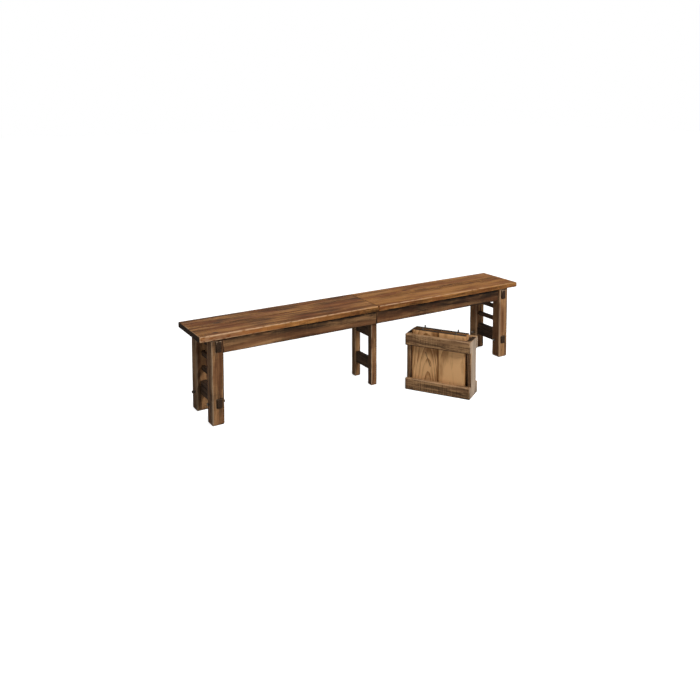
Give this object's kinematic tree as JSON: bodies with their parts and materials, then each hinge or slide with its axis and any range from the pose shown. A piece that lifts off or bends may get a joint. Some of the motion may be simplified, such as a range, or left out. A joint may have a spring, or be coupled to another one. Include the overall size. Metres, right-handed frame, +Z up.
{
  "type": "extending bench",
  "caption": "Long rough-sawn wooden bench that draws out on geared wooden slides for two leaves, kept in a slatted crate.",
  "frame": {"origin": "on the floor, at the middle of the footprint of the bench and its crate together; the joint of the seat is at x = 0", "axes": "+X along the bench to its right end, +Y to the back, +Z up; the crate stands in front on -Y"},
  "size_m": [2.032, 0.7054, 0.457],
  "materials": {
    "seat_wood": "stained and waxed rough-sawn pine, worn at the arrises",
    "frame_wood": "stained rough-sawn pine, mid brown with light arrises",
    "inner_wood": "stained pine, darker where it is out of the light",
    "slide_wood": "bare planed hardwood",
    "crate_wood": "stained rough-sawn pine",
    "leaf_wood": "unfinished pine undersides, stained on the inner faces",
    "peg_wood": "dark oak peg",
    "steel": "plain turned and cut steel"
  },
  "bodies": {
    "centre_frame": {"centre_leg_front": "frame_wood", "centre_leg_back": "frame_wood", "centre_rail": "inner_wood", "centre_stretcher": "inner_wood", "slide_member_front": "slide_wood", "slide_member_back": "slide_wood", "slide_tie_left": "slide_wood", "slide_tie_right": "slide_wood", "pinion_axle": "steel", "crate_side_left": "crate_wood", "crate_side_right": "crate_wood", "crate_band_front_bottom": "crate_wood", "crate_band_front_top": "crate_wood", "crate_band_back_bottom": "crate_wood", "crate_band_back_top": "crate_wood", "crate_floor": "crate_wood"},
    "left_half": {"left_seat_board_front": "seat_wood", "left_seat_board_back": "seat_wood", "left_apron_front": "frame_wood", "left_apron_back": "frame_wood", "left_leg_front": "frame_wood", "left_leg_back": "frame_wood", "left_peg_front": "peg_wood", "left_peg_back": "peg_wood", "left_top_rail": "inner_wood", "left_stretcher": "inner_wood", "left_upper_slat": "inner_wood", "left_lower_slat": "inner_wood", "left_cleat_inner": "inner_wood", "left_cleat_middle": "inner_wood", "left_cleat_outer": "inner_wood", "left_inner_runner": "slide_wood", "left_outer_runner": "slide_wood", "left_rack": "steel"},
    "right_half": {"right_seat_board_front": "seat_wood", "right_seat_board_back": "seat_wood", "right_apron_front": "frame_wood", "right_apron_back": "frame_wood", "right_leg_front": "frame_wood", "right_leg_back": "frame_wood", "right_peg_front": "peg_wood", "right_peg_back": "peg_wood", "right_top_rail": "inner_wood", "right_stretcher": "inner_wood", "right_upper_slat": "inner_wood", "right_lower_slat": "inner_wood", "right_cleat_inner": "inner_wood", "right_cleat_middle": "inner_wood", "right_cleat_outer": "inner_wood", "right_inner_runner": "slide_wood", "right_outer_runner": "slide_wood", "right_rack": "steel", "joint_pin_front": "steel", "joint_pin_back": "steel"},
    "pinion": {"pinion": "steel"},
    "front_leaf": {"front_leaf_board_left": "leaf_wood", "front_leaf_board_right": "leaf_wood"},
    "back_leaf": {"back_leaf_board_left": "leaf_wood", "back_leaf_board_right": "leaf_wood"}
  },
  "joints": [
    {"name": "left_half_slide", "type": "slide", "parent": "centre_frame", "child": "left_half", "axis": [-1, 0, 0], "range_m": [0, 0.305]},
    {"name": "right_half_slide", "type": "slide", "parent": "centre_frame", "child": "right_half", "axis": [1, 0, 0], "range_m": [0, 0.305]},
    {"name": "pinion_turn", "type": "hinge", "parent": "centre_frame", "child": "pinion", "pos_m": [0, 0.20025, 0.3827], "axis": [0, 0, 1], "range_deg": [-1457, 0]},
    {"name": "front_leaf_lift", "type": "slide", "parent": "centre_frame", "child": "front_leaf", "axis": [0, 0, 1], "range_m": [0, 0.3]},
    {"name": "back_leaf_lift", "type": "slide", "parent": "centre_frame", "child": "back_leaf", "axis": [0, 0, 1], "range_m": [0, 0.3]}
  ],
  "couplings": [
    {"joint": "right_half_slide", "follows": "left_half_slide", "ratio": 1},
    {"joint": "pinion_turn", "follows": "left_half_slide", "rad_per_m": -83.333}
  ]
}
